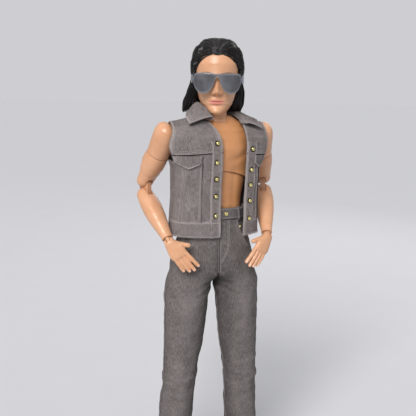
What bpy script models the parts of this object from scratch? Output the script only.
"""Jointed fashion doll in a sleeveless denim vest, jeans, boots and sunglasses.

Metres, +Z up. The doll stands on z = 0, faces -Y, and its own left side is +X.
Every piece of a pair is worked out for the left side and mirrored for the right.
"""

import math

import bmesh
import bpy
from mathutils import Matrix, Vector

# Fits and facets
CLEARANCE = 0.0003
LOOSE_FIT = 0.0005
CUT_OVERRUN = 0.0040
CLOTH = 0.0009
SIDES = 10
BALL_SIDES = 10
PIN_SIDES = 8
TORSO_SIDES = 16
CLOTH_SIDES = 12
FINGER_SIDES = 6
SHARP_ANGLE = math.radians(40)

# Skeleton: lengths between joint axes, from the floor up
ANKLE_HEIGHT = 0.0185
SHIN_LENGTH = 0.0620
KNEE_LINK_LENGTH = 0.0142
THIGH_LENGTH = 0.0708
HIP_SPACING = 0.0330
LEG_SPLAY = math.radians(3.7)
HIP_TO_TORSO_PIVOT = 0.0290
TORSO_CUT_RADIUS = 0.0340
CUT_TO_SHOULDER = 0.0212
SHOULDER_OUT = 0.0085
SHOULDER_SETBACK = 0.0020
SHOULDER_TO_HEAD_PIVOT = 0.0165
UPPER_ARM_LENGTH = 0.0372
ELBOW_LINK_LENGTH = 0.0098
FOREARM_LENGTH = 0.0388
HEAD_TURN = math.radians(-19)

# Rest pose of the hands, thumbs at the front pockets
WRIST_SPACING = 0.0650
WRIST_FORWARD = 0.0125
WRIST_ABOVE_HIP = 0.0180
ELBOW_SWING = math.radians(68)
HAND_POINTING = Vector((-0.45, -0.30, -0.84)).normalized()

# Torso
HIP_WIDTH = 0.0410
HIP_DEPTH = 0.0224
CROTCH_DROP = 0.0066
CHEST_WIDTH = 0.0440
CHEST_DEPTH = 0.0244
CHEST_RISE = 0.0290
PEC_SWELL = 0.0013
LINK_BALL = 0.0060
LINK_STEM = 0.0026
LINK_TOP_BALL = 0.0046
LINK_REACH = 0.0420
TORSO_TILT = math.radians(11)
TORSO_POWER = 2.4

# Neck and head
NECK_RADIUS = 0.0052
NECK_SINK = 0.0060
KNOB_BALL = 0.0040
KNOB_PEG = 0.0020
KNOB_REACH = 0.0125
HEAD_SOCKET = 0.0084
HEAD_HEIGHT = 0.0425
HEAD_WIDTH = 0.0262
HEAD_DEPTH = 0.0310
CHIN_DROP = 0.0055
NOSE_LENGTH = 0.0030
HEAD_SIDES = 16

# Hair
HAIR_THICKNESS = 0.0022
HAIR_FALL = 0.0230
HAIR_LOCK = 0.0034
HAIRLINE_SLANT = math.radians(33)

# Sunglasses
LENS_WIDTH = 0.0140
LENS_HEIGHT = 0.0112
LENS_THICKNESS = 0.0009
BRIDGE_WIDTH = 0.0044
TEMPLE_LENGTH = 0.0205
TEMPLE_HEIGHT = 0.0016
GLASSES_STANDOFF = 0.0012

# Shoulder and arm
SHOULDER_CAP = 0.0082
SHOULDER_KNOB = 0.0048
SHOULDER_AXLE = 0.0021
BICEP_CUT = 0.0165
BICEP_WIDTH = 0.0146
BICEP_PEG = 0.0024
BICEP_PEG_LENGTH = 0.0060
ARM_ELBOW_WIDTH = 0.0100
FOREARM_WIDTH = 0.0116
WRIST_WIDTH = 0.0066
ELBOW_LINK_THICKNESS = 0.0034
ELBOW_PIN = 0.0012
ARM_LIFT = math.radians(85)

# Hand
WRIST_HINGE = 0.0030
WRIST_TONGUE = 0.0020
WRIST_PIN = 0.0007
WRIST_PEG = 0.0017
WRIST_PEG_LENGTH = 0.0060
PALM_LENGTH = 0.0105
PALM_WIDTH = 0.0094
PALM_THICKNESS = 0.0044
FINGER_LENGTH = 0.0128
FINGER_THICKNESS = 0.0023
THUMB_LENGTH = 0.0100
THUMB_THICKNESS = 0.0026

# Hip and leg
HIP_BALL = 0.0092
HIP_KNOB = 0.0052
HIP_AXLE = 0.0024
HIP_SPLAY = math.radians(40)
THIGH_WIDTH = 0.0186
KNEE_WIDTH = 0.0140
KNEE_LINK_THICKNESS = 0.0050
KNEE_PIN = 0.0016
CALF_WIDTH = 0.0160
ANKLE_WIDTH = 0.0098
ANKLE_TONGUE = 0.0034
ANKLE_PIN = 0.0012

# Boots
BOOT_LENGTH = 0.0375
BOOT_WIDTH = 0.0145
SOLE_THICKNESS = 0.0030
SOLE_LIP = 0.0006
BOOT_WALL = 0.0012

# Jeans
JEANS_EASE = 0.0012
JEANS_HIP_WIDTH = 0.0576
JEANS_HIP_DEPTH = 0.0286
JEANS_THIGH_WIDTH = 0.0262
JEANS_KNEE_WIDTH = 0.0214
JEANS_HEM_WIDTH = 0.0226
JEANS_HEM_HEIGHT = 0.0136
WAISTBAND_HEIGHT = 0.0072
WAISTBAND_RISE = 0.0090
WAISTBAND_WIDTH = 0.0378
WAISTBAND_DEPTH = 0.0222
LOOP_WIDTH = 0.0026
LOOP_THICKNESS = 0.0007
BUTTON_RADIUS = 0.0016
RIVET_RADIUS = 0.0010
RIVET_SHARE = 0.70
KNEE_FOLD = 0.0009

# Vest
VEST_HEM_ABOVE_HIP = 0.0206
VEST_HEM_WIDTH = 0.0590
VEST_WAIST_WIDTH = 0.0560
VEST_CHEST_WIDTH = 0.0660
VEST_DEPTH = 0.0300
VEST_SETBACK = 0.0004
VEST_ABOVE_SHOULDER = 0.0108
VEST_ARMPIT_BELOW_SHOULDER = 0.0190
VEST_EDGE_RIGHT = 0.0005
VEST_EDGE_LEFT = 0.0155
VEST_POWER = 4.0
NECK_HOLE = 0.0098
ARMHOLE_REACH = 0.0300
COLLAR_STAND = 0.0046
COLLAR_SPREAD = 0.0056
COLLAR_WING = 0.0035
COLLAR_TURN = math.radians(126)
SNAP_RADIUS = 0.0013
SNAP_HEIGHT = 0.0008
SNAP_STRIP_WIDTH = 0.0016
SNAP_STRIP_THICKNESS = 0.0004
SNAP_INSET = 0.0036
FLAP_WIDTH = 0.0145
FLAP_HEIGHT = 0.0078
YOKE_BELOW_SHOULDER = 0.0130
FLAP_MARGIN = 0.0012

# Places that follow from the sizes above
LEG_DOWN = Vector((math.sin(LEG_SPLAY), 0, -math.cos(LEG_SPLAY)))
LEG_LENGTH = SHIN_LENGTH + KNEE_LINK_LENGTH + THIGH_LENGTH
HIP = Vector((HIP_SPACING / 2, 0, ANKLE_HEIGHT + LEG_LENGTH * math.cos(LEG_SPLAY)))
KNEE_UPPER = HIP + LEG_DOWN * THIGH_LENGTH
KNEE_LOWER = KNEE_UPPER + LEG_DOWN * KNEE_LINK_LENGTH
ANKLE = KNEE_LOWER + LEG_DOWN * SHIN_LENGTH
TORSO_PIVOT = Vector((0, 0, HIP.z + HIP_TO_TORSO_PIVOT))
CUT_TOP = TORSO_PIVOT.z + TORSO_CUT_RADIUS
SHOULDER = Vector((CHEST_WIDTH / 2 + SHOULDER_OUT, SHOULDER_SETBACK, CUT_TOP + CUT_TO_SHOULDER))
HEAD_PIVOT = Vector((0, SHOULDER_SETBACK / 2, SHOULDER.z + SHOULDER_TO_HEAD_PIVOT))
WRIST = Vector((WRIST_SPACING / 2, -WRIST_FORWARD, HIP.z + WRIST_ABOVE_HIP))
VEST_HEM = HIP.z + VEST_HEM_ABOVE_HIP
VEST_TOP = SHOULDER.z + VEST_ABOVE_SHOULDER
WAIST_TOP = TORSO_PIVOT.z + WAISTBAND_RISE
UP = Vector((0, 0, 1))
RIGHTWARD = Vector((1, 0, 0))
BACKWARD = Vector((0, 1, 0))


def arm_pose():
    """Elbow pivots of the left arm, each pivot bent alike, for the wrist's place."""
    reach = (WRIST - SHOULDER).length
    low, high = 0.0, math.radians(85)
    for _ in range(60):
        bend = (low + high) / 2
        along = UPPER_ARM_LENGTH + ELBOW_LINK_LENGTH * math.cos(bend)
        along += FOREARM_LENGTH * math.cos(2 * bend)
        aside = ELBOW_LINK_LENGTH * math.sin(bend) + FOREARM_LENGTH * math.sin(2 * bend)
        if math.hypot(along, aside) > reach:
            low = bend
        else:
            high = bend
    down = (WRIST - SHOULDER).normalized()
    pole = Vector((math.cos(ELBOW_SWING), math.sin(ELBOW_SWING), 0))
    pole = (pole - down * pole.dot(down)).normalized()
    lead = math.atan2(aside, along)
    upper = down * math.cos(lead) + pole * math.sin(lead)
    side = down * math.sin(lead) - pole * math.cos(lead)
    middle = upper * math.cos(bend) + side * math.sin(bend)
    lower = upper * math.cos(2 * bend) + side * math.sin(2 * bend)
    first = SHOULDER + upper * UPPER_ARM_LENGTH
    second = first + middle * ELBOW_LINK_LENGTH
    return first, second, upper, middle, lower


ELBOW_UPPER, ELBOW_LOWER, ARM_DOWN, LINK_DOWN, FOREARM_DOWN = arm_pose()
ELBOW_AXIS = ARM_DOWN.cross(FOREARM_DOWN).normalized()
WRIST_AXIS = HAND_POINTING.cross(FOREARM_DOWN).normalized()


def limb_axes(origin, down, across):
    """Local frame of a limb: -Z runs down it and X is its hinge's direction."""
    up = -down.normalized()
    across = (across - up * across.dot(up)).normalized()
    deep = up.cross(across)
    columns = Matrix((across, deep, up)).transposed().to_4x4()
    return Matrix.Translation(origin) @ columns


WORLD = Matrix.Identity(4)
THIGH_AXES = limb_axes(HIP, LEG_DOWN, RIGHTWARD)
KNEE_LINK_AXES = limb_axes(KNEE_UPPER, LEG_DOWN, RIGHTWARD)
SHIN_AXES = limb_axes(KNEE_LOWER, LEG_DOWN, RIGHTWARD)
ANKLE_AXES = limb_axes(ANKLE, -UP, RIGHTWARD)
ARM_AXES = limb_axes(SHOULDER, ARM_DOWN, ELBOW_AXIS)
ELBOW_LINK_AXES = limb_axes(ELBOW_UPPER, LINK_DOWN, ELBOW_AXIS)
FOREARM_AXES = limb_axes(ELBOW_LOWER, FOREARM_DOWN, ELBOW_AXIS)
PEG_AXES = limb_axes(WRIST, FOREARM_DOWN, WRIST_AXIS)
HAND_AXES = limb_axes(WRIST, HAND_POINTING, WRIST_AXIS)
HEAD_AXES = Matrix.Translation(HEAD_PIVOT) @ Matrix.Rotation(HEAD_TURN, 4, "Z")


def clear_scene():
    """Take away whatever the open file holds."""
    for old in list(bpy.data.objects):
        bpy.data.objects.remove(old, do_unlink=True)


def material(name, colour, roughness, metallic=0.0, alpha=1.0):
    """A Principled finish in one colour."""
    made = bpy.data.materials.new(name)
    made.use_nodes = True
    shader = made.node_tree.nodes["Principled BSDF"]
    shader.inputs["Base Color"].default_value = (*colour, 1)
    shader.inputs["Roughness"].default_value = roughness
    shader.inputs["Metallic"].default_value = metallic
    shader.inputs["Alpha"].default_value = alpha
    return made


def add_object(name, shape, finish=None, origin=Vector(), side=1):
    """A mesh object from a shape in world places; without a finish it is a cutter."""
    points, faces = shape
    home = Vector((side * origin.x, origin.y, origin.z))
    mesh = bpy.data.meshes.new(name)
    mesh.from_pydata([Vector((side * p.x, p.y, p.z)) - home for p in points], [], faces)
    bm = bmesh.new()
    bm.from_mesh(mesh)
    bmesh.ops.recalc_face_normals(bm, faces=bm.faces)
    bm.to_mesh(mesh)
    bm.free()
    piece = bpy.data.objects.new(name, mesh)
    piece.location = home
    bpy.context.scene.collection.objects.link(piece)
    if finish is None:
        piece.hide_render = True
        piece.display_type = "WIRE"
    else:
        mesh.materials.append(finish)
        mesh.shade_smooth()
        mesh.set_sharp_from_angle(angle=SHARP_ANGLE)
    return piece


def combine(piece, shape, operation, side=1):
    """Cut a shape out of a piece, or join it on, with a Boolean modifier."""
    label = f"{piece.name}_{operation.lower()}_{len(piece.modifiers) + 1}"
    tool = add_object(label, shape, side=side)
    step = piece.modifiers.new(label, "BOOLEAN")
    step.operation = operation
    step.object = tool
    return tool


def cut(piece, *shapes, side=1):
    """Cut each shape out of a piece."""
    for shape in shapes:
        combine(piece, shape, "DIFFERENCE", side)


def join(piece, *shapes, side=1):
    """Fuse each shape to a piece."""
    for shape in shapes:
        combine(piece, shape, "UNION", side)


def pair_name(name, side):
    """Name of a piece of a pair, by the doll's own side."""
    return f"{name}_{'left' if side > 0 else 'right'}"


def signed_power(value, power):
    """A power that keeps the sign, for superellipses."""
    return math.copysign(abs(value) ** power, value)


def ring(axes, height, half_width, half_depth, shift=(0, 0), power=2.0, sides=SIDES):
    """One closed superellipse across a limb, as world points."""
    points = []
    for step in range(sides):
        angle = math.tau * step / sides
        x = shift[0] + half_width * signed_power(math.cos(angle), 2 / power)
        y = shift[1] + half_depth * signed_power(math.sin(angle), 2 / power)
        points.append(axes @ Vector((x, y, height)))
    return points


def loft(rings):
    """A closed solid through rings of equal count, with flat ends."""
    count = len(rings[0])
    points = [p for loop in rings for p in loop]
    faces = []
    for row in range(len(rings) - 1):
        for step in range(count):
            a = row * count + step
            b = row * count + (step + 1) % count
            faces.append((a, b, b + count, a + count))
    faces.append(tuple(range(count)))
    faces.append(tuple(range((len(rings) - 1) * count, len(rings) * count)))
    return points, faces


def hollow_loft(rings, wall):
    """An open-ended tube of cloth through rings, with its wall inside them."""
    count = len(rings[0])
    inner = []
    for loop in rings:
        middle = sum(loop, Vector()) / count
        for p in loop:
            inward = (middle - p).normalized()
            inner.append(p + inward * wall)
    points = [p for loop in rings for p in loop] + inner
    total = len(rings) * count
    faces = []
    for row in range(len(rings) - 1):
        for step in range(count):
            a = row * count + step
            b = row * count + (step + 1) % count
            faces.append((a, b, b + count, a + count))
            faces.append((total + b, total + a, total + a + count, total + b + count))
    for first in (0, total - count):
        for step in range(count):
            a = first + step
            b = first + (step + 1) % count
            faces.append((a, b, total + b, total + a))
    return points, faces


def sheet(rows, wall, inward):
    """A closed slab from a grid of outer points; inward(p) points to its lining."""
    width = len(rows[0])
    outer = [p for row in rows for p in row]
    inner = [p + inward(p) * wall for p in outer]
    total = len(outer)
    faces = []
    for r in range(len(rows) - 1):
        for c in range(width - 1):
            a = r * width + c
            quad = (a, a + 1, a + 1 + width, a + width)
            faces.append(quad)
            faces.append(tuple(total + i for i in reversed(quad)))
    border = [r * width for r in range(len(rows) - 1)]
    border += [(len(rows) - 1) * width + c for c in range(width - 1)]
    border += [r * width + width - 1 for r in range(len(rows) - 1, 0, -1)]
    border += [c for c in range(width - 1, 0, -1)]
    for here, there in zip(border, border[1:] + border[:1]):
        faces.append((here, there, total + there, total + here))
    return outer + inner, faces


def prism(axes, outline, start, end):
    """An outline in the limb's Y-Z plane, pushed along X from start to end."""
    count = len(outline)
    points = [axes @ Vector((start, y, z)) for y, z in outline]
    points += [axes @ Vector((end, y, z)) for y, z in outline]
    faces = [tuple(range(count)), tuple(range(count, 2 * count))]
    for step in range(count):
        other = (step + 1) % count
        faces.append((step, other, count + other, count + step))
    return points, faces


def circle(radius, y=0.0, z=0.0, sides=PIN_SIDES, start=0.0):
    """Points of a circle, for a pin or a bore; start is its first point's angle."""
    turn = math.tau / sides
    return [
        (y + radius * math.cos(start + turn * k), z + radius * math.sin(start + turn * k))
        for k in range(sides)
    ]


def upright(axes, radius, low, high, x=0.0, y=0.0, sides=PIN_SIDES):
    """A round bar along the limb, from low to high."""
    turned = [axes @ Vector((x + a, y + b, low)) for a, b in circle(radius, sides=sides)]
    top = [axes @ Vector((x + a, y + b, high)) for a, b in circle(radius, sides=sides)]
    return loft([turned, top])


def box(axes, low, high):
    """A block between two local corners."""
    outline = [(low[1], low[2]), (high[1], low[2]), (high[1], high[2]), (low[1], high[2])]
    return prism(axes, outline, low[0], high[0])


def ball(centre, radius, sides=BALL_SIDES):
    """A faceted ball whose poles lie on the X axis through its centre."""
    half = sides // 2
    points = [centre - RIGHTWARD * radius]
    for r in range(1, half):
        tilt = math.pi * r / half
        for k in range(sides):
            turn = math.tau * k / sides
            off = Vector((-math.cos(tilt), math.sin(tilt) * math.cos(turn),
                          math.sin(tilt) * math.sin(turn)))
            points.append(centre + off * radius)
    points.append(centre + RIGHTWARD * radius)
    faces = []
    for k in range(sides):
        other = (k + 1) % sides
        faces.append((0, 1 + other, 1 + k))
        for r in range(half - 2):
            a = 1 + r * sides
            faces.append((a + k, a + other, a + sides + other, a + sides + k))
        last = 1 + (half - 2) * sides
        faces.append((len(points) - 1, last + k, last + other))
    return points, faces


def slot_sweep(axes, start, end, half_gap, reach, half_width, steps=6):
    """The slot that a bar of half_gap sweeps in the Y-Z plane between two angles."""
    outline = []

    def at(angle, out, aside):
        y = out * math.cos(angle) - aside * math.sin(angle)
        z = out * math.sin(angle) + aside * math.cos(angle)
        return y, z

    outline.append(at(start, -half_gap / 2, -half_gap))
    outline.append(at(start, reach, -half_gap))
    for k in range(1, steps):
        outline.append(at(start + (end - start) * k / steps, reach, 0))
    outline.append(at(end, reach, half_gap))
    outline.append(at(end, -half_gap / 2, half_gap))
    return prism(axes, outline, -half_width, half_width)


# Torso: heights as shares from the crotch to the cut, and widths and depths as shares
ABDOMEN_SHARES = (
    (0.00, 0.42, 0.72, 0.00),
    (0.06, 0.78, 0.92, 0.01),
    (0.19, 0.96, 1.00, 0.02),
    (0.31, 0.99, 0.99, 0.01),
    (0.45, 0.90, 0.91, 0.00),
    (0.566, 0.83, 0.84, -0.01),
    (0.71, 0.84, 0.85, -0.01),
    (0.88, 0.94, 0.93, -0.01),
    (1.06, 1.00, 0.98, -0.01),
)
CHEST_SHARES = (
    (-0.42, 0.93, 0.86, -0.02),
    (-0.05, 0.96, 0.90, -0.02),
    (0.12, 0.98, 0.96, -0.03),
    (0.35, 1.00, 1.00, -0.02),
    (0.56, 1.00, 0.96, 0.00),
    (0.74, 1.00, 0.84, 0.03),
    (0.88, 0.86, 0.68, 0.04),
    (1.00, 0.50, 0.50, 0.04),
)


def torso_rings(shares, bottom, top, width, depth, swell):
    """Rings of the torso; swell pushes the front out into two breast muscles."""
    rings = []
    for height, wide, deep, shift in shares:
        z = bottom + (top - bottom) * height
        loop = ring(WORLD, z, width * wide / 2, depth * deep / 2, (0, depth * shift),
                    TORSO_POWER, TORSO_SIDES)
        for p in loop:
            if p.y < 0:
                across = (abs(p.x) / (width / 2) - 0.45) / 0.30
                along = (height - 0.34) / 0.26
                p.y -= swell * math.exp(-across * across - along * along)
        rings.append(loop)
    return rings


def seat(radius):
    """Radius of a faceted seat in which a faceted ball of a radius turns freely."""
    return radius / math.cos(math.pi / BALL_SIDES) + CLEARANCE


def split_block(front, centre_z, reach, seam=0.0):
    """The half of space behind or in front of the torso's parting plane at y = seam."""
    near, far = seam - CLEARANCE / 2, reach
    if not front:
        near, far = seam + CLEARANCE / 2, -reach
    low = (-reach, min(near, far), centre_z - 2 * reach)
    high = (reach, max(near, far), centre_z + 2 * reach)
    return box(WORLD, low, high)


def hip_cutters():
    """Room for the left thigh's ball and its swing, and the bore of its axle."""
    room = HIP_BALL + CLEARANCE
    reach = HIP_DEPTH / 2 + CUT_OVERRUN
    back = math.radians(15)
    outline = [(-reach, room), (-reach, -reach)]
    outline.append((room / math.cos(back) + reach * math.tan(back), -reach))
    for k in range(BALL_SIDES):
        turn = -back + (math.pi / 2 + back) * k / (BALL_SIDES - 1)
        outline.append((room * math.cos(turn), room * math.sin(turn)))
    at = Matrix.Translation(HIP)
    return (prism(at, outline, -room, reach),
            prism(at, circle(HIP_AXLE + CLEARANCE), -HIP.x, 0))


def abdomen(skin):
    """Pelvis and belly as a front and a back shell, round on top about the pivot."""
    crotch = HIP.z - CROTCH_DROP
    rings = torso_rings(ABDOMEN_SHARES, crotch, CUT_TOP, HIP_WIDTH, HIP_DEPTH, 0)
    size = TORSO_CUT_RADIUS
    dome = box(WORLD, (-size, -size, TORSO_PIVOT.z + size / 2),
               (size, size, TORSO_PIVOT.z + 2 * size))
    for front in (True, False):
        name = "torso_lower_front" if front else "torso_lower_back"
        shell = add_object(name, loft(rings), skin)
        lid = combine(shell, dome, "DIFFERENCE")
        combine(lid, ball(TORSO_PIVOT, size - CLEARANCE / 2, 3 * BALL_SIDES),
                "DIFFERENCE")
        for side in (1, -1):
            cut(shell, *hip_cutters(), side=side)
        way = math.tan(TORSO_TILT) * (size + CUT_OVERRUN) + LINK_STEM + 2 * LOOSE_FIT
        stem_half = LINK_STEM + CLEARANCE
        cut(shell, ball(TORSO_PIVOT, seat(LINK_BALL)))
        cut(shell, loft([
            [Vector((x * stem_half, y * stem_half, TORSO_PIVOT.z))
             for x, y in ((-1, -1), (1, -1), (1, 1), (-1, 1))],
            [Vector((x * stem_half, y * way, CUT_TOP + CUT_OVERRUN))
             for x, y in ((-1, -1), (1, -1), (1, 1), (-1, 1))]]))
        hollow = HIP_AXLE + 2 * CLEARANCE
        flange = box(WORLD, (-hollow, -2 * hollow, HIP.z - 2 * hollow),
                     (hollow, 2 * hollow, HIP.z + 2 * hollow))
        cut(shell, flange, split_block(front, TORSO_PIVOT.z, 2 * TORSO_CUT_RADIUS))


def torso_link(inside):
    """The link between belly and chest: a ball, a stem and a second ball on top."""
    link = add_object("torso_link", ball(TORSO_PIVOT, LINK_BALL), inside, TORSO_PIVOT)
    top = TORSO_PIVOT + UP * LINK_REACH
    lift = Matrix.Translation(TORSO_PIVOT)
    join(link, upright(lift, LINK_STEM, 0, LINK_REACH), ball(top, LINK_TOP_BALL))


def chest(skin):
    """Ribs, breast and shoulders as a front and a back shell with a round underside."""
    top = CUT_TOP + CHEST_RISE
    rings = torso_rings(CHEST_SHARES, CUT_TOP, top, CHEST_WIDTH, CHEST_DEPTH, PEC_SWELL)
    for front in (True, False):
        name = "torso_upper_front" if front else "torso_upper_back"
        shell = add_object(name, loft(rings), skin, TORSO_PIVOT)
        cut(shell, split_block(front, TORSO_PIVOT.z, 2 * TORSO_CUT_RADIUS, SHOULDER.y))
        cut(shell, ball(TORSO_PIVOT, TORSO_CUT_RADIUS + CLEARANCE, 3 * BALL_SIDES))
        cut(shell, ball(TORSO_PIVOT + UP * LINK_REACH, seat(LINK_TOP_BALL)))
        pivot = Matrix.Translation(TORSO_PIVOT)
        cut(shell, upright(pivot, LINK_STEM + CLEARANCE, 0, LINK_REACH))
        neck = Matrix.Translation(HEAD_PIVOT)
        cut(shell, upright(neck, NECK_RADIUS + CLEARANCE,
                           top - NECK_SINK - HEAD_PIVOT.z, CUT_OVERRUN, sides=BALL_SIDES))
        for side in (1, -1):
            axle = Matrix.Translation(SHOULDER)
            bore = circle(SHOULDER_AXLE + CLEARANCE, start=math.pi / PIN_SIDES)
            cut(shell, prism(axle, bore, -SHOULDER.x + CHEST_WIDTH / 8, 0), side=side)


def neck(skin):
    """The neck post, with a round seat on top for the head's knob."""
    top = CUT_TOP + CHEST_RISE
    base = top - NECK_SINK + CLEARANCE - HEAD_PIVOT.z
    seat_height = -KNOB_BALL * 0.7
    axes = Matrix.Translation(HEAD_PIVOT)
    post = add_object("neck", upright(axes, NECK_RADIUS, base, seat_height,
                                      sides=BALL_SIDES), skin, HEAD_PIVOT)
    cut(post, ball(HEAD_PIVOT, seat(KNOB_BALL)))
    knob = add_object("neck_knob", ball(HEAD_PIVOT, KNOB_BALL), skin, HEAD_PIVOT)
    join(knob, upright(axes, KNOB_PEG, 0, KNOB_REACH))


# Head, as shares of its half width, half depth and height, from chin to crown:
# height, half width, front, back
HEAD_SHARES = (
    (0.00, 0.34, 0.72, 0.04),
    (0.04, 0.52, 0.88, 0.22),
    (0.12, 0.68, 0.94, 0.42),
    (0.22, 0.80, 0.94, 0.56),
    (0.32, 0.89, 0.95, 0.70),
    (0.42, 0.95, 0.96, 0.84),
    (0.52, 0.98, 0.95, 0.94),
    (0.62, 1.00, 0.98, 1.00),
    (0.72, 0.99, 0.96, 1.00),
    (0.81, 0.93, 0.88, 0.95),
    (0.89, 0.80, 0.72, 0.82),
    (0.955, 0.58, 0.50, 0.60),
    (0.99, 0.28, 0.24, 0.30),
)
# Face forms: height, distance from the middle, spread up, spread across, swell
FACE_SHARES = (
    (0.36, 0.00, 0.045, 0.17, 1.00),
    (0.45, 0.00, 0.070, 0.11, 0.55),
    (0.52, 0.42, 0.050, 0.24, -0.45),
    (0.60, 0.30, 0.040, 0.34, 0.30),
    (0.215, 0.00, 0.030, 0.30, 0.25),
    (0.05, 0.00, 0.050, 0.26, 0.35),
)


# Side locks: drop, place out, place back, half width and half depth
LOCK_SHARES = ((0.00, 0.90, 0.12, 0.40, 1.30), (0.25, 1.02, 0.15, 0.85, 1.60),
               (0.50, 1.12, 0.19, 1.00, 1.65), (0.75, 1.24, 0.23, 1.00, 1.45),
               (1.00, 1.32, 0.25, 0.45, 0.80))
# Hair down the neck: drop, place back, half width and half depth
FALL_SHARES = ((0.0, 0.385, 0.84, 0.80), (0.33, 0.540, 1.00, 0.80),
               (0.70, 0.650, 1.10, 0.76), (1.0, 0.670, 0.92, 0.36))


def head_point(turn, height, grow=0.0):
    """A point of the head's skin in its own frame; turn 0 is the tip of the face."""
    below = max(s for s in HEAD_SHARES[:-1] if s[0] <= max(height, 0))
    above = HEAD_SHARES[HEAD_SHARES.index(below) + 1]
    t = (height - below[0]) / (above[0] - below[0])
    wide, front, back = (below[k] + (above[k] - below[k]) * t for k in (1, 2, 3))
    x = math.sin(turn) * (wide * HEAD_WIDTH / 2 + grow)
    reach = front if math.cos(turn) > 0 else back
    y = -math.cos(turn) * (reach * HEAD_DEPTH / 2 + grow)
    z = -CHIN_DROP + HEAD_HEIGHT * height
    if math.cos(turn) > 0:
        for rise, off, spread_up, spread_out, swell in FACE_SHARES:
            up = (height - rise) / spread_up
            out = (abs(math.sin(turn)) * wide - off) / spread_out
            y -= swell * NOSE_LENGTH * math.exp(-up * up - out * out)
    return Vector((x, y, z))


def head_loft(grow=0.0):
    """The head's closed skin, or one grown outwards by a length."""
    rings = []
    heights = [s[0] for s in HEAD_SHARES]
    finer = sorted(heights + [0.27, 0.37, 0.47])
    for height in finer:
        loop = []
        for k in range(HEAD_SIDES):
            p = head_point(math.tau * k / HEAD_SIDES, height, grow)
            if height == heights[-1]:
                p.z += grow
            if height == heights[0]:
                p.z -= grow
            loop.append(HEAD_AXES @ p)
        rings.append(loop)
    return loft(rings)


def head(skin):
    """The head, hollow below where it sits round the neck and its knob."""
    made = add_object("head", head_loft(), skin, HEAD_PIVOT)
    room = NECK_RADIUS + 2 * LOOSE_FIT
    cut(made, loft([ring(HEAD_AXES, -KNOB_BALL, room, room),
                    ring(HEAD_AXES, -2 * CHIN_DROP, 2 * room, 2 * room)]),
        ball(HEAD_PIVOT, HEAD_SOCKET, BALL_SIDES + 2),
        upright(HEAD_AXES, KNOB_PEG + CLEARANCE, 0, KNOB_REACH + CLEARANCE))


def hair(strands):
    """Slicked-back hair: a cap behind the hairline, two side locks and a back fall."""
    cap = add_object("hair_cap", head_loft(HAIR_THICKNESS), strands, HEAD_PIVOT)
    crown = HEAD_HEIGHT - CHIN_DROP
    size = HEAD_HEIGHT
    nape = crown * 0.16
    slant = math.tan(HAIRLINE_SLANT)
    forehead = (-HEAD_DEPTH * 0.34, crown * 0.93)
    above = (forehead[0] - (size - forehead[1]) * slant, size)
    behind_ear = (forehead[0] + (forehead[1] - nape) * slant, nape)
    face = [above, behind_ear, (size, nape), (size, -size), (-size, -size), (-size, size)]
    cut(cap, head_loft(CLEARANCE), prism(HEAD_AXES, face, -size, size))
    for side in (1, -1):
        lock = []
        for drop, out, back, wide, deep in LOCK_SHARES:
            at = Vector((side * (out * HEAD_WIDTH / 2 + HAIR_THICKNESS * 0.72),
                         back * HEAD_DEPTH, nape * 3.1 - drop * HAIR_FALL))
            axes = HEAD_AXES @ Matrix.Translation(at)
            lock.append(ring(axes, 0, wide * HAIR_LOCK, deep * HAIR_LOCK, sides=10))
        piece = add_object(f"hair_side_{'left' if side > 0 else 'right'}", loft(lock),
                           strands, HEAD_PIVOT)
        cut(piece, head_loft(HAIR_THICKNESS + CLEARANCE))
    fall = []
    for drop, back, wide, deep in FALL_SHARES:
        at = Vector((0, back * HEAD_DEPTH, nape - CLEARANCE - drop * HAIR_FALL * 0.6))
        axes = HEAD_AXES @ Matrix.Translation(at)
        fall.append(ring(axes, 0, wide * HEAD_WIDTH / 2, deep * HAIR_LOCK))
    cut(add_object("hair_back", loft(fall), strands, HEAD_PIVOT), head_loft(CLEARANCE))


def sunglasses(tinted):
    """Aviator sunglasses in one moulding: two lenses, a bridge and two temples."""
    eye = HEAD_HEIGHT * 0.53 - CHIN_DROP
    face = HEAD_DEPTH / 2 + GLASSES_STANDOFF + 2 * LENS_THICKNESS
    rows = []
    spread = LENS_WIDTH + BRIDGE_WIDTH / 2
    top_shares = (1.0, 1.0, 0.97, 0.90, 0.88, 0.90, 0.97, 1.0, 1.0)
    low_shares = (0.10, -0.62, -0.98, -0.70, 0.42, -0.70, -0.98, -0.62, 0.10)
    for share in (0, 0.5, 1):
        row = []
        for k, (top, low) in enumerate(zip(top_shares, low_shares)):
            across = (k / 4 - 1) * spread
            z = eye + LENS_HEIGHT / 2 * (low + (top - low) * share)
            y = -face + across * across / HEAD_WIDTH * 0.36
            row.append(HEAD_AXES @ Vector((across, y, z)))
        rows.append(row)
    back = HEAD_AXES.to_3x3() @ BACKWARD
    made = add_object("sunglasses", sheet(rows, LENS_THICKNESS, lambda p: back), tinted,
                      HEAD_PIVOT)
    edge = spread * spread / HEAD_WIDTH * 0.36 - face
    for side in (1, -1):
        inner = side * (spread - LENS_THICKNESS * 0.6)
        outer = side * (spread + LENS_THICKNESS * 0.4)
        low = (min(inner, outer), edge + LENS_THICKNESS * 0.3, eye + LENS_HEIGHT * 0.30)
        high = (max(inner, outer), edge + TEMPLE_LENGTH, low[2] + TEMPLE_HEIGHT)
        join(made, box(HEAD_AXES, low, high))


def round_end(start, direction, half_width, radius):
    """Sections of a limb's round end, from its axis outwards."""
    return [(start + direction * radius * out, half_width * wide, radius * deep)
            for out, wide, deep in ((0, 1, 1), (0.5, 0.98, 0.87), (0.86, 0.92, 0.51),
                                    (0.99, 0.84, 0.14))]


def limb_loft(axes, sections, power=2.2):
    """A limb through sections of height, half width and half depth."""
    return loft([ring(axes, z, wide, deep, power=power) for z, wide, deep in sections])


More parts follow.
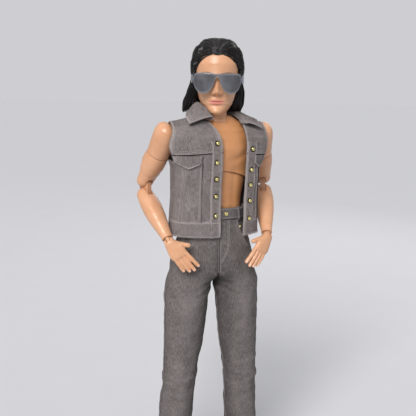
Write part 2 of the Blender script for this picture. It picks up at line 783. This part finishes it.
def fork(piece, axes, height, upwards, radius, link_half, link_radius, pin, half_width,
         side):
    """Open a limb's end for its link and bore it for the link's pin."""
    near = height + upwards * (link_radius + CLEARANCE)
    far = height - upwards * (radius + CUT_OVERRUN)
    gap = link_half + CLEARANCE
    room = radius + CUT_OVERRUN
    reach = half_width + CUT_OVERRUN
    cut(piece, box(axes, (-gap, -room, min(near, far)), (gap, room, max(near, far))),
        prism(axes, circle(pin + CLEARANCE, z=height), -reach, reach), side=side)


def joint_link(name, axes, length, round_radius, half_thickness, pin, half_width,
               finish, origin, side):
    """The middle piece of a double hinge: a bar with round ends and two pins."""
    radius = round_radius * 0.70
    outline = []
    for k in range(PIN_SIDES):
        turn = math.pi * k / (PIN_SIDES - 1)
        outline.append((radius * math.cos(turn), radius * math.sin(turn)))
    for k in range(PIN_SIDES):
        turn = math.pi + math.pi * k / (PIN_SIDES - 1)
        outline.append((radius * math.cos(turn), radius * math.sin(turn) - length))
    link = add_object(pair_name(name, side),
                      prism(axes, outline, -half_thickness, half_thickness),
                      finish, origin, side)
    end = half_width * 0.94
    for z in (0, -length):
        join(link, prism(axes, circle(pin, z=z), -end, end), side=side)
    return radius


def ball_cup(piece, centre, knob, axle, turn, reach, side):
    """Hollow a ball for its knob, with the slot that the knob's axle needs."""
    sweep = Matrix((BACKWARD, -RIGHTWARD, UP)).transposed().to_4x4()
    sweep = Matrix.Translation(centre) @ sweep
    half = axle + CLEARANCE
    margin = math.radians(6)
    cut(piece, ball(centre, seat(knob)),
        slot_sweep(sweep, -margin, turn + margin, half, reach + CUT_OVERRUN, half),
        side=side)


def knob(name, centre, radius, axle, reach, finish, side):
    """A ball on an axle that turns in the torso."""
    made = add_object(pair_name(name, side), ball(centre, radius), finish, centre, side)
    join(made, prism(Matrix.Translation(centre), circle(axle), -reach, 0), side=side)


def arm(skin, side):
    """Shoulder, bicep, double elbow, forearm and wrist peg of one arm."""
    elbow_round = (ELBOW_LINK_LENGTH - CLEARANCE) / 2
    knob("shoulder_knob", SHOULDER, SHOULDER_KNOB, SHOULDER_AXLE,
         SHOULDER.x - CHEST_WIDTH / 8 - CLEARANCE, skin, side)
    cap = add_object(pair_name("shoulder", side), ball(SHOULDER, SHOULDER_CAP), skin,
                     SHOULDER, side)
    bicep = BICEP_WIDTH / 2
    join(cap, limb_loft(ARM_AXES, (
        (0, SHOULDER_CAP * 0.97, SHOULDER_CAP * 0.97),
        (-BICEP_CUT * 0.45, bicep * 1.08, bicep * 1.08),
        (-BICEP_CUT, bicep, bicep)), 2.0), side=side)
    ball_cup(cap, SHOULDER, SHOULDER_KNOB, SHOULDER_AXLE, ARM_LIFT, SHOULDER_CAP, side)
    cut(cap, upright(ARM_AXES, BICEP_PEG + CLEARANCE, -BICEP_CUT - CUT_OVERRUN,
                     -BICEP_CUT + BICEP_PEG_LENGTH + CLEARANCE), side=side)

    start = -BICEP_CUT - CLEARANCE
    span = UPPER_ARM_LENGTH - BICEP_CUT
    half = ARM_ELBOW_WIDTH / 2
    upper = add_object(pair_name("upper_arm", side), limb_loft(ARM_AXES, [
        (start, bicep, bicep),
        (start - span * 0.22, bicep * 1.06, bicep * 1.04),
        (start - span * 0.48, bicep * 0.98, bicep * 0.96),
        (start - span * 0.76, half * 1.12, elbow_round * 1.08),
    ] + round_end(-UPPER_ARM_LENGTH, -1, half, elbow_round)), skin, SHOULDER, side)
    join(upper, upright(ARM_AXES, BICEP_PEG, start - BICEP_PEG, start + BICEP_PEG_LENGTH),
         side=side)
    link_half = ELBOW_LINK_THICKNESS / 2
    link_radius = joint_link("elbow_link", ELBOW_LINK_AXES, ELBOW_LINK_LENGTH,
                             elbow_round, link_half, ELBOW_PIN, half, skin,
                             ELBOW_UPPER, side)
    fork(upper, ARM_AXES, -UPPER_ARM_LENGTH, 1, elbow_round, link_half, link_radius,
         ELBOW_PIN, half, side)

    end = -FOREARM_LENGTH + WRIST_HINGE + CLEARANCE
    full, wrist = FOREARM_WIDTH / 2, WRIST_WIDTH / 2
    lower = add_object(pair_name("forearm", side), limb_loft(FOREARM_AXES,
        round_end(0, 1, half, elbow_round)[::-1] + [
        (end * 0.20, full * 0.98, full * 0.94),
        (end * 0.40, full, full * 0.96),
        (end * 0.72, (full + wrist) * 0.46, (full + wrist) * 0.45),
        (end * 0.92, wrist * 1.04, wrist),
        (end, wrist, wrist * 0.94)]), skin, ELBOW_LOWER, side)
    fork(lower, FOREARM_AXES, 0, -1, elbow_round, link_half, link_radius, ELBOW_PIN,
         half, side)
    cut(lower, upright(PEG_AXES, WRIST_PEG + CLEARANCE, 0,
                       WRIST_HINGE + WRIST_PEG_LENGTH + CLEARANCE), side=side)

    tongue = WRIST_HINGE * 0.76
    peg = add_object(pair_name("wrist_peg", side),
                     prism(PEG_AXES, circle(tongue), -WRIST_TONGUE / 2, WRIST_TONGUE / 2),
                     skin, WRIST, side)
    stalk = WRIST_PEG * 0.78
    join(peg, box(PEG_AXES, (-WRIST_TONGUE / 2, -stalk, 0),
                  (WRIST_TONGUE / 2, stalk, WRIST_HINGE + WRIST_PEG)),
         upright(PEG_AXES, WRIST_PEG, WRIST_HINGE + CLEARANCE,
                 WRIST_HINGE + WRIST_PEG_LENGTH),
         prism(PEG_AXES, circle(WRIST_PIN), -wrist * 0.9, wrist * 0.9), side=side)


# Fingers from the thumb's side: length share, place across as a share, lean in degrees
FINGER_SHARES = ((0.90, 0.36, 5), (1.00, 0.12, 1.5), (0.93, -0.12, -2), (0.76, -0.35, -6))


def hand(skin, side):
    """A relaxed hand: palm, four fingers and a thumb, hinged on the wrist's pin."""
    wrist = WRIST_WIDTH / 2
    palm = PALM_WIDTH / 2
    thick = PALM_THICKNESS / 2
    made = add_object(pair_name("hand", side), limb_loft(HAND_AXES, [
        (WRIST_HINGE * 0.98, wrist * 0.86, WRIST_HINGE * 0.22),
        (WRIST_HINGE * 0.80, wrist * 0.96, WRIST_HINGE * 0.60),
        (WRIST_HINGE * 0.40, wrist, WRIST_HINGE * 0.90),
        (0, wrist * 1.02, WRIST_HINGE),
        (-PALM_LENGTH * 0.40, palm * 0.86, thick * 1.14),
        (-PALM_LENGTH * 0.75, palm, thick),
        (-PALM_LENGTH, palm * 0.98, thick * 0.86),
        (-PALM_LENGTH * 1.08, palm * 0.80, thick * 0.5)], 2.6), skin, WRIST, side)
    half = FINGER_THICKNESS / 2
    for length, place, lean in FINGER_SHARES:
        root = Vector((place * PALM_WIDTH, 0, -PALM_LENGTH * 0.86))
        axes = HAND_AXES @ Matrix.Translation(root)
        axes = axes @ Matrix.Rotation(math.radians(-lean), 4, "Y")
        axes = axes @ Matrix.Rotation(math.radians(-7), 4, "X")
        reach = FINGER_LENGTH * length + PALM_LENGTH * 0.14
        join(made, loft([ring(axes, -reach * along, half * size, half * size,
                              sides=FINGER_SIDES)
                         for along, size in ((0, 0.9), (0.45, 1.0), (0.88, 0.86),
                                             (1.0, 0.42))]), side=side)
    root = Vector((palm * 0.45, 0, -PALM_LENGTH * 0.30))
    axes = HAND_AXES @ Matrix.Translation(root)
    axes = axes @ Matrix.Rotation(math.radians(-62), 4, "Y")
    thumb = THUMB_THICKNESS / 2
    join(made, loft([ring(axes, -THUMB_LENGTH * along, thumb * size, thumb * size,
                          sides=FINGER_SIDES)
                     for along, size in ((0, 1.0), (0.5, 1.05), (0.9, 0.8), (1.0, 0.4))]),
         side=side)
    gap = WRIST_TONGUE / 2 + CLEARANCE
    room = WRIST_HINGE + CUT_OVERRUN
    reach = palm + CUT_OVERRUN
    cut(made, box(HAND_AXES, (-gap, -room, -WRIST_HINGE * 0.76 - CLEARANCE),
                  (gap, room, room)),
        prism(HAND_AXES, circle(WRIST_PIN + CLEARANCE), -reach, reach), side=side)


def leg(skin, side):
    """Hip knob, thigh, double knee, shin and ankle of one leg."""
    knee_round = (KNEE_LINK_LENGTH - CLEARANCE) / 2
    knob("hip_knob", HIP, HIP_KNOB, HIP_AXLE, HIP.x - LOOSE_FIT, skin, side)
    thick = THIGH_WIDTH / 2
    half = KNEE_WIDTH / 2
    thigh = add_object(pair_name("thigh", side), ball(HIP, HIP_BALL), skin, HIP, side)
    join(thigh, limb_loft(THIGH_AXES, [
        (0, HIP_BALL * 0.97, HIP_BALL * 0.97),
        (-THIGH_LENGTH * 0.22, thick, thick),
        (-THIGH_LENGTH * 0.55, thick * 0.92, thick * 0.94),
        (-THIGH_LENGTH * 0.84, half * 1.06, knee_round * 1.05),
    ] + round_end(-THIGH_LENGTH, -1, half, knee_round)), side=side)
    ball_cup(thigh, HIP, HIP_KNOB, HIP_AXLE, HIP_SPLAY, HIP_BALL, side)
    link_half = KNEE_LINK_THICKNESS / 2
    link_radius = joint_link("knee_link", KNEE_LINK_AXES, KNEE_LINK_LENGTH, knee_round,
                             link_half, KNEE_PIN, half, skin, KNEE_UPPER, side)
    fork(thigh, THIGH_AXES, -THIGH_LENGTH, 1, knee_round, link_half, link_radius,
         KNEE_PIN, half, side)

    calf, ankle = CALF_WIDTH / 2, ANKLE_WIDTH / 2
    shin = add_object(pair_name("shin", side), limb_loft(SHIN_AXES,
        round_end(0, 1, half, knee_round)[::-1] + [
        (-SHIN_LENGTH * 0.16, calf * 0.90, calf * 0.95),
        (-SHIN_LENGTH * 0.34, calf, calf * 1.04),
        (-SHIN_LENGTH * 0.66, (calf + ankle) * 0.48, (calf + ankle) * 0.50),
    ] + round_end(-SHIN_LENGTH, -1, ankle, ankle)), skin, KNEE_LOWER, side)
    fork(shin, SHIN_AXES, 0, -1, knee_round, link_half, link_radius, KNEE_PIN, half, side)
    fork(shin, ANKLE_AXES, 0, 1, ankle, ANKLE_TONGUE / 2, ankle * 0.72, ANKLE_PIN, ankle,
         side)


# Boot outlines from sole to collar: height, half length, middle and half width shares
BOOT_SHARES = ((0.0, 1.00, -0.13, 1.00), (0.26, 0.99, -0.13, 0.98),
               (0.44, 0.92, -0.11, 0.96), (0.70, 0.64, 0.00, 0.92),
               (1.0, 0.42, 0.05, 0.84))


def boot_rings(shrink, low, high):
    """Horizontal outlines of the boot, drawn in by a length."""
    rings = []
    for height, long, middle, wide in BOOT_SHARES:
        axes = Matrix.Translation((ANKLE.x, 0, 0))
        z = low + (high - low) * height
        rings.append(ring(axes, z, BOOT_WIDTH / 2 * wide - shrink,
                          BOOT_LENGTH / 2 * long - shrink, (0, BOOT_LENGTH * middle),
                          2.4))
    return rings


def foot_and_boot(skin, leather, side):
    """The foot with its ankle tongue, and the boot that it stands in."""
    ankle = ANKLE_WIDTH / 2
    top = ANKLE.z - ankle - CLEARANCE
    inside = BOOT_WALL + 2 * CLEARANCE
    base = SOLE_THICKNESS + CLEARANCE
    foot = add_object(pair_name("foot", side), loft(boot_rings(inside, base, top)), skin,
                      ANKLE, side)
    tongue = ankle * 0.66
    join(foot, prism(ANKLE_AXES, circle(tongue), -ANKLE_TONGUE / 2, ANKLE_TONGUE / 2),
         box(ANKLE_AXES, (-ANKLE_TONGUE / 2, -tongue, top - ANKLE.z - tongue),
             (ANKLE_TONGUE / 2, tongue, 0)),
         prism(ANKLE_AXES, circle(ANKLE_PIN), -ankle * 0.92, ankle * 0.92), side=side)
    boot = add_object(pair_name("boot", side), loft(boot_rings(0, SOLE_THICKNESS / 2, top)),
                      leather, ANKLE, side)
    axes = Matrix.Translation((ANKLE.x, 0, 0))
    wide, long = BOOT_WIDTH / 2 + SOLE_LIP, BOOT_LENGTH / 2 + SOLE_LIP
    middle = (0, BOOT_LENGTH * BOOT_SHARES[0][2])
    join(boot, loft([ring(axes, z, wide, long, middle, 2.4) for z in (0, SOLE_THICKNESS)]),
         side=side)
    room = boot_rings(BOOT_WALL, base, top)
    floor = [p - UP * CLEARANCE for p in room[0]]
    lift = [p + UP * CUT_OVERRUN for p in room[-1]]
    cut(boot, loft([floor] + room + [lift]), side=side)


# Jeans over the hips: height share from leg seam to waistband, width and depth shares
JEANS_HIP_SHARES = ((0.0, 1.00, 1.00), (0.28, 0.96, 0.98), (0.58, 0.855, 0.885),
                    (0.80, 0.755, 0.84), (1.0, 0.685, 0.79))
# Jeans legs: share along the leg, width share between knee and thigh, fold swell share
JEANS_THIGH_SHARES = ((0.105, 0.96, 0.0), (0.22, 1.00, 0.2), (0.42, 0.90, -0.1),
                      (0.64, 0.62, 0.2), (0.80, 0.30, -0.5), (0.88, 0.16, 0.9),
                      (0.95, 0.08, -0.5), (1.02, 0.02, 0.6))
JEANS_SHIN_SHARES = ((0.0, 0.0, 0.3), (0.10, 0.0, -0.6), (0.22, 0.1, 0.5),
                     (0.45, 0.35, 0.0), (0.68, 0.65, 0.0), (0.84, 0.85, -0.4),
                     (0.93, 0.95, 0.5), (1.0, 1.0, 0.0))


def cloth_ring(axes, z, wide, deep, swell, phase, shift=(0, 0)):
    """One ring of a cloth tube, with folds that run round it at a slant."""
    points = []
    for k in range(CLOTH_SIDES):
        angle = math.tau * k / CLOTH_SIDES
        fold = swell * math.cos(angle - phase)
        x = shift[0] + (wide + fold) * signed_power(math.cos(angle), 0.92)
        y = shift[1] + (deep + fold) * signed_power(math.sin(angle), 0.92)
        points.append(axes @ Vector((x, y, z + fold / 2)))
    return points


def jeans(denim, brass):
    """Jeans over the hips, with their waistband, button and pocket rivets."""
    low = HIP.z - CROTCH_DROP
    high = WAIST_TOP - WAISTBAND_HEIGHT - CLEARANCE
    rings = []
    for height, wide, deep in JEANS_HIP_SHARES:
        rings.append(ring(WORLD, low + (high - low) * height, JEANS_HIP_WIDTH / 2 * wide,
                          JEANS_HIP_DEPTH / 2 * deep, power=TORSO_POWER, sides=TORSO_SIDES))
    hips = add_object("jeans_hips", hollow_loft(rings, CLOTH), denim)
    gusset = JEANS_EASE + CLOTH
    crotch = low - CLEARANCE - CLOTH * 0.6
    front = JEANS_HIP_DEPTH / 2 - CLOTH * 0.2
    saddle = []
    for deep, drop, turns in ((front, CLOTH, range(9)),
                              (front - CLOTH * 0.6, 0, range(8, -1, -1))):
        for k in turns:
            turn = math.pi * k / 8
            z = low + CLOTH - (low + CLOTH - crotch + drop) * math.sin(turn) ** 0.4
            saddle.append((-deep * math.cos(turn), z))
    join(hips, prism(WORLD, saddle, -gusset, gusset))

    base = WAIST_TOP - WAISTBAND_HEIGHT
    wide, deep = WAISTBAND_WIDTH / 2, WAISTBAND_DEPTH / 2
    rings = [ring(WORLD, base + WAISTBAND_HEIGHT * k / 2, wide, deep, power=TORSO_POWER,
                  sides=TORSO_SIDES) for k in range(3)]
    band = add_object("jeans_waistband", hollow_loft(rings, CLOTH), denim)
    half = LOOP_WIDTH / 2
    for turn in (-138, -42, 20, 160, 90):
        angle = math.radians(turn)
        x = wide * signed_power(math.cos(angle), 2 / TORSO_POWER)
        y = deep * signed_power(math.sin(angle), 2 / TORSO_POWER)
        at = Matrix.Translation((x, y, base)) @ Matrix.Rotation(
            math.atan2(y * wide, x * deep), 4, "Z")
        join(band, box(at, (-CLOTH / 2, -half, CLOTH / 2),
                       (LOOP_THICKNESS, half, WAISTBAND_HEIGHT - CLOTH / 2)))

    def stud(name, x, z, radius, surface):
        """A brass stud that stands just off the cloth."""
        top, rim = surface - BUTTON_RADIUS / 2, surface - CLEARANCE
        shape = loft([[Vector((x + a, y, z + b)) for a, b in circle(r)]
                      for y, r in ((rim, radius), ((top + rim) / 2, radius * 0.96),
                                   (top, radius * 0.6))])
        add_object(name, shape, brass)

    stud("jeans_button", 2 * BUTTON_RADIUS, base + WAISTBAND_HEIGHT / 2, BUTTON_RADIUS,
         -deep)
    at = base - WAISTBAND_HEIGHT * 0.7
    for side in (1, -1):
        x = HIP.x * 0.80
        stud(pair_name("pocket_rivet", side), side * x, at, RIVET_RADIUS,
             -JEANS_HIP_DEPTH / 2 * RIVET_SHARE)


def jeans_leg(denim, side):
    """Thigh and shin of one jeans leg, with the folds at knee and hem."""
    rings = []
    knee, thick = JEANS_KNEE_WIDTH / 2, JEANS_THIGH_WIDTH / 2
    for along, wide, fold in JEANS_THIGH_SHARES:
        size = knee + (thick - knee) * wide
        rings.append(cloth_ring(THIGH_AXES, -THIGH_LENGTH * along, size, size,
                                KNEE_FOLD * fold, math.radians(300)))
    add_object(pair_name("jeans_thigh", side), hollow_loft(rings, CLOTH), denim, HIP, side)
    hem = JEANS_HEM_WIDTH / 2
    start = -THIGH_LENGTH * JEANS_THIGH_SHARES[-1][0] + KNEE_LINK_LENGTH + THIGH_LENGTH
    start -= CLEARANCE + KNEE_FOLD
    end = -(KNEE_LOWER.z - JEANS_HEM_HEIGHT) / math.cos(LEG_SPLAY)
    rings = []
    for along, wide, fold in JEANS_SHIN_SHARES:
        size = knee + (hem - knee) * wide
        swell = KNEE_FOLD * fold if along else 0
        rings.append(cloth_ring(SHIN_AXES, start + (end - start) * along, size, size,
                                swell, math.radians(250)))
    add_object(pair_name("jeans_shin", side), hollow_loft(rings, CLOTH), denim,
               KNEE_LOWER, side)


# Vest profile: height share from hem to shoulder seam, width, depth
VEST_SHARES = ((0.0, 0.0, 1.00), (0.16, 0.02, 0.99), (0.36, 0.0, 0.97),
               (0.56, 0.0, 1.00), (0.66, 0.45, 1.03), (0.74, 0.85, 1.03),
               (0.83, 1.0, 0.98), (0.90, 1.0, 0.86), (0.955, 1.0, 0.64),
               (0.985, 1.0, 0.34), (1.0, 1.0, 0.09))


def vest_profile(share):
    """Half width and half depth of the vest at a height share."""
    below = max(s for s in VEST_SHARES[:-1] if s[0] <= max(share, 0))
    above = VEST_SHARES[VEST_SHARES.index(below) + 1]
    t = (share - below[0]) / (above[0] - below[0])
    wide = below[1] + (above[1] - below[1]) * t
    deep = (below[2] + (above[2] - below[2]) * t) * VEST_DEPTH / 2
    low = VEST_WAIST_WIDTH + (VEST_HEM_WIDTH - VEST_WAIST_WIDTH) * max(0, 1 - share / 0.3)
    return (low + (VEST_CHEST_WIDTH - low) * wide) / 2, deep


def vest_point(x, share, front, grow=0.0):
    """Outer point of the vest at a place across and a height share."""
    wide, deep = vest_profile(share)
    power = 2.6 + (VEST_POWER - 2.6) * min(1, share / 0.7)
    inside = max(0.0, 1 - min(1, abs(x) / wide) ** power)
    y = (deep + grow) * inside ** (1 / power)
    gap = CLEARANCE / 2
    y = max(y, gap)
    z = VEST_HEM + (VEST_TOP - VEST_HEM) * share + (grow if share > 0.95 else 0)
    round_neck = NECK_HOLE * NECK_HOLE - x * x
    if share > 0.85 and round_neck > 0:
        y = max(y, math.sqrt(round_neck))
        z -= CLOTH * (share - 0.85) / 0.15
    return Vector((x, VEST_SETBACK + (-y if front else y), z))


def vest_inward(p):
    """Direction from the vest's surface towards the doll."""
    middle = Vector((0, VEST_SETBACK, min(p.z, SHOULDER.z)))
    off = middle - p
    off.x *= 0.35 if p.z > SHOULDER.z - VEST_ARMPIT_BELOW_SHOULDER else 1
    if p.z > SHOULDER.z:
        off.x = 0
    return off.normalized()


ARMPIT_SHARE = 1 - (VEST_ABOVE_SHOULDER + VEST_ARMPIT_BELOW_SHOULDER) / (VEST_TOP - VEST_HEM)


def outer_reach(share):
    """Where the vest ends at a height: the side seam, then the armhole's edge."""
    wide, _ = vest_profile(share)
    if share <= ARMPIT_SHARE:
        return wide
    rise = (share - ARMPIT_SHARE) / (1 - ARMPIT_SHARE)
    waist = VEST_WAIST_WIDTH / 2
    return waist * (0.985 - 0.06 * math.sin(math.pi * min(1, rise * 1.6))) + (
        ARMHOLE_REACH - waist * 0.985) * rise


def across(inner, outer, wide, count, power):
    """Places from the front edge to the side, closer together where the side turns."""
    start = math.asin((inner / wide) ** (power / 2))
    end = math.asin(min(1.0, outer / wide) ** (power / 2))
    return [wide * math.sin(start + (end - start) * k / (count - 1)) ** (2 / power)
            for k in range(count)]


def vest_rows():
    """Height shares of the rows that every vest panel uses."""
    shares = [s[0] for s in VEST_SHARES] + [0.46, ARMPIT_SHARE, ARMPIT_SHARE + 0.025]
    return sorted(shares)


def vest_front(denim, side):
    """One front of the vest, from hem to shoulder seam."""
    edge = VEST_EDGE_LEFT if side > 0 else VEST_EDGE_RIGHT
    rows = []
    for share in vest_rows():
        wide, _ = vest_profile(share)
        power = 2.6 + (VEST_POWER - 2.6) * min(1, share / 0.7)
        inner = edge
        if share > 0.72:
            lean = (share - 0.72) / 0.28
            inner = edge + (NECK_HOLE - edge) * lean * lean
        places = across(inner, outer_reach(share), wide, 6, power)
        rows.append([vest_point(x, share, True) for x in places])
    add_object(pair_name("vest_front", side), sheet(rows, CLOTH, vest_inward), denim,
               TORSO_PIVOT, side)


def vest_back(denim):
    """The back of the vest, from side seam to side seam."""
    rows = []
    for share in vest_rows():
        wide, _ = vest_profile(share)
        power = 2.6 + (VEST_POWER - 2.6) * min(1, share / 0.7)
        half = across(0, outer_reach(share), wide, 5, power)
        places = [-x for x in reversed(half[1:])] + half
        rows.append([vest_point(x, share, False) for x in places])
    add_object("vest_back", sheet(rows, CLOTH, vest_inward), denim, TORSO_PIVOT)


def vest_collar(denim):
    """The collar: a stand round the neck, folded over into two pointed wings."""
    base = VEST_TOP + CLEARANCE + CLOTH * 0.25
    count = 15
    rows = []
    for rise, spread in ((0.0, 0.0), (1.0, 0.28), (1.02, 0.52), (0.12, 1.0)):
        row = []
        for k in range(count):
            turn = COLLAR_TURN * (2 * k / (count - 1) - 1)
            front = max(0.0, abs(turn) / COLLAR_TURN - 0.7) / 0.3
            radius = NECK_HOLE + CLOTH + COLLAR_SPREAD * spread
            if spread == 1.0:
                radius += COLLAR_WING * front
            x, y = radius * math.sin(turn), radius * math.cos(turn)
            z = base + COLLAR_STAND * rise * (1 - 0.55 * front)
            row.append(Vector((x, VEST_SETBACK + y, z)))
        rows.append(row)
    spine = Vector((0, VEST_SETBACK, base - COLLAR_STAND))

    def lining(p):
        """Down towards the shoulders, and inwards at the stand."""
        out = Vector((p.x, p.y - VEST_SETBACK, 0))
        share = (out.length - NECK_HOLE) / COLLAR_SPREAD
        if share < 0.2:
            return out.normalized()
        if share < 0.4:
            return (out.normalized() - UP * 1.2).normalized()
        if share < 0.66:
            return (-out.normalized() * 0.2 - UP).normalized()
        return (spine - p).normalized()

    add_object("vest_collar", sheet(rows, CLOTH * 0.8, lining), denim, TORSO_PIVOT)


# Snaps down each front, as height shares of the vest
SNAP_SHARES = (0.72, 0.565, 0.415, 0.275, 0.125)


def snap_row(brass, side):
    """Five snap caps on one front, fused by the strip that backs them."""
    edge = VEST_EDGE_LEFT if side > 0 else VEST_EDGE_RIGHT
    x = edge + SNAP_INSET
    half = SNAP_STRIP_WIDTH / 2
    lift = CLEARANCE + SNAP_STRIP_THICKNESS
    shares = [0.07 + 0.70 * k / 7 for k in range(8)]
    rows = [[vest_point(x + a, share, True) - BACKWARD * lift for a in (-half, half)]
            for share in shares]
    strip = add_object(pair_name("snap_row", side),
                       sheet(rows, SNAP_STRIP_THICKNESS, lambda p: BACKWARD), brass,
                       TORSO_PIVOT, side)
    for share in SNAP_SHARES:
        at = vest_point(x, share, True) - BACKWARD * (lift - SNAP_STRIP_THICKNESS / 2)
        join(strip, loft([[at + Vector((a, -y, b)) for a, b in circle(r, sides=FINGER_SIDES)]
                          for y, r in ((0, SNAP_RADIUS), (SNAP_HEIGHT * 0.6, SNAP_RADIUS * 0.9),
                                       (SNAP_HEIGHT, SNAP_RADIUS * 0.5))]), side=side)


def flap_reach(side):
    """Share of the yoke seam's height, and where its flap begins and ends across."""
    share = 1 - (VEST_ABOVE_SHOULDER + YOKE_BELOW_SHOULDER) / (VEST_TOP - VEST_HEM)
    edge = VEST_EDGE_LEFT if side > 0 else VEST_EDGE_RIGHT
    outer = outer_reach(share) - FLAP_MARGIN
    inner = max(outer - FLAP_WIDTH, edge + SNAP_INSET + SNAP_RADIUS + LOOSE_FIT)
    return share, inner, outer


def pocket_flap(denim, side):
    """A pointed pocket flap that hangs from the yoke seam."""
    share, inner, outer = flap_reach(side)
    height = FLAP_HEIGHT / (VEST_TOP - VEST_HEM)
    rows = []
    for k in range(4):
        row = []
        for j in range(5):
            aside = abs(j / 2 - 1)
            drop = k / 3 * (1 - 0.45 * aside) * height
            x = inner + (outer - inner) * j / 4
            lift = CLEARANCE + CLOTH * 0.8
            row.append(vest_point(x, share - drop, True) - BACKWARD * lift)
        rows.append(row)
    hinge = vest_point((inner + outer) / 2, share, True)
    add_object(pair_name("pocket_flap", side), sheet(rows, CLOTH * 0.7, lambda p: BACKWARD),
               denim, hinge, side)


def build():
    """Make every piece of the doll."""
    clear_scene()
    skin = material("tan_hard_plastic", (0.78, 0.47, 0.30), 0.32)
    inside = material("dark_link_plastic", (0.45, 0.26, 0.17), 0.45)
    strands = material("black_hair", (0.022, 0.017, 0.018), 0.38)
    denim = material("washed_grey_denim", (0.19, 0.17, 0.16), 0.92)
    brass = material("brass_studs", (0.62, 0.52, 0.25), 0.30, 1.0)
    leather = material("black_boot_plastic", (0.03, 0.028, 0.028), 0.5)
    tinted = material("smoked_clear_plastic", (0.12, 0.14, 0.17), 0.08, 0.0, 0.5)
    abdomen(skin)
    torso_link(inside)
    chest(skin)
    neck(skin)
    head(skin)
    hair(strands)
    sunglasses(tinted)
    jeans(denim, brass)
    vest_back(denim)
    vest_collar(denim)
    for side in (1, -1):
        arm(skin, side)
        hand(skin, side)
        leg(skin, side)
        foot_and_boot(skin, leather, side)
        jeans_leg(denim, side)
        vest_front(denim, side)
        snap_row(brass, side)
        pocket_flap(denim, side)


build()
